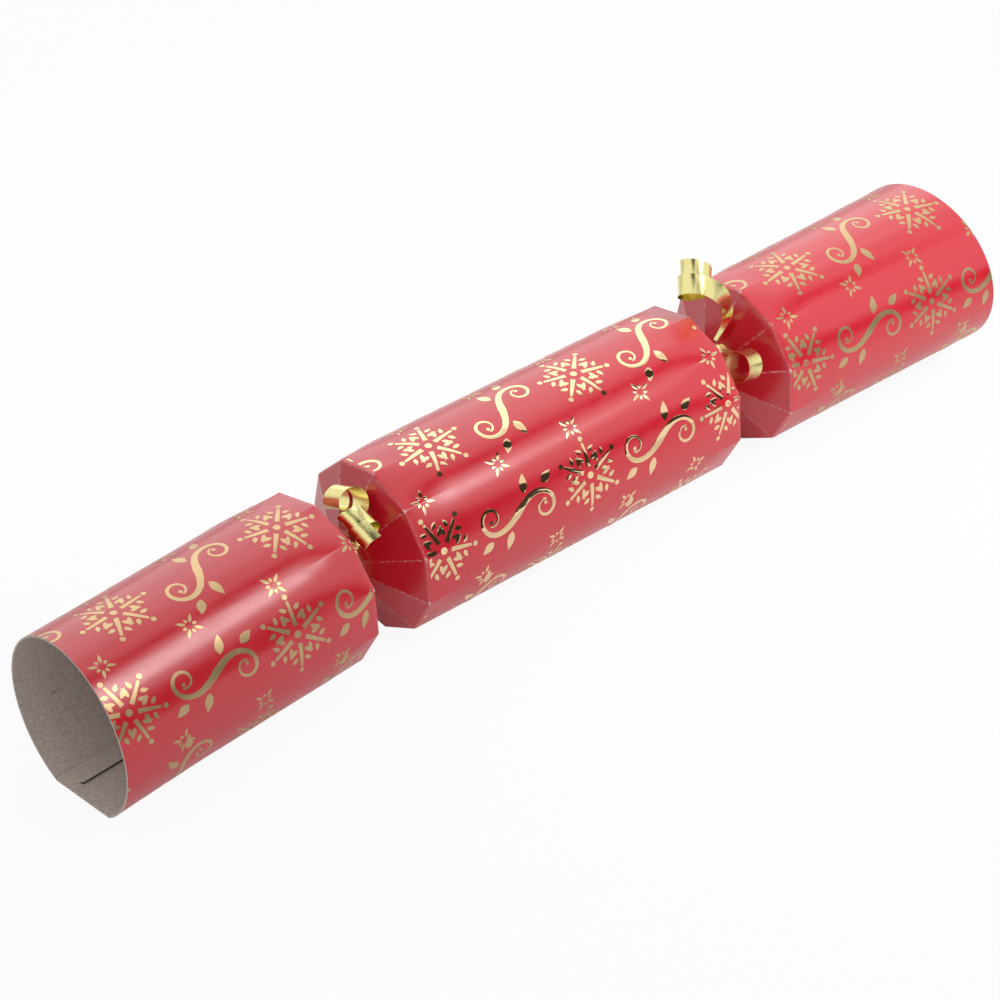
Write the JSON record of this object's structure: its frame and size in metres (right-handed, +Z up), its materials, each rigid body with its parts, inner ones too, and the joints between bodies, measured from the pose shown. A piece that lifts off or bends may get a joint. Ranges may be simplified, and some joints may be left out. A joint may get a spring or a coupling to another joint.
{
  "type": "christmas cracker",
  "caption": "Pull cracker: red board tube with a barrel and two open ends joined at faceted, ribbon-tied necks, with a snap strip, paper hat, motto and small toy inside.",
  "frame": {"origin": "middle of the barrel's flat lap seam, which lies on the table", "axes": "+X along the barrel towards the right end, +Z up, away from the lap seam"},
  "size_m": [0.2914, 0.057, 0.0572],
  "materials": {
    "red_board": "satin",
    "gold_ribbon": "polished",
    "snap_card": "matte",
    "snap_powder": "matte",
    "snap_paper": "matte",
    "hat_tissue": "matte",
    "motto_paper": "matte",
    "top_plastic": "gloss",
    "top_stem": "gloss"
  },
  "bodies": {
    "barrel": {"barrel_sleeve": "red_board", "barrel_left_facets": "red_board", "barrel_right_facets": "red_board", "barrel_left_gussets": "red_board", "barrel_right_gussets": "red_board", "left_ribbon_tie": "gold_ribbon", "right_ribbon_tie": "gold_ribbon", "left_front_curl": "gold_ribbon", "left_back_curl": "gold_ribbon", "right_upper_curl": "gold_ribbon", "right_ring_curl": "gold_ribbon"},
    "left_end": {"left_end_sleeve": "red_board", "left_end_facets": "red_board", "left_end_gussets": "red_board", "snap_strip_left": "snap_card", "snap_charge": "snap_powder", "snap_wrapper": "snap_paper"},
    "right_end": {"right_end_sleeve": "red_board", "right_end_facets": "red_board", "right_end_gussets": "red_board", "snap_strip_right": "snap_card", "snap_abrasive": "snap_powder"},
    "paper_hat": {"paper_hat": "hat_tissue"},
    "motto_slip": {"motto_slip": "motto_paper"},
    "spinning_top": {"top_disc": "top_plastic", "top_spindle": "top_stem"}
  },
  "joints": [
    {"name": "left_pull", "type": "slide", "parent": "barrel", "child": "left_end", "axis": [-1, 0, 0], "range_m": [0, 0.1]},
    {"name": "right_pull", "type": "slide", "parent": "barrel", "child": "right_end", "axis": [1, 0, 0], "range_m": [0, 0.1]},
    {"name": "hat_slide", "type": "slide", "parent": "barrel", "child": "paper_hat", "axis": [1, 0, 0], "range_m": [-0.0105, 0.0105]},
    {"name": "motto_slide", "type": "slide", "parent": "barrel", "child": "motto_slip", "axis": [1, 0, 0], "range_m": [-0.0195, 0.0195]},
    {"name": "top_slide", "type": "slide", "parent": "barrel", "child": "spinning_top", "axis": [1, 0, 0], "range_m": [-0.072, 0.0065]}
  ]
}
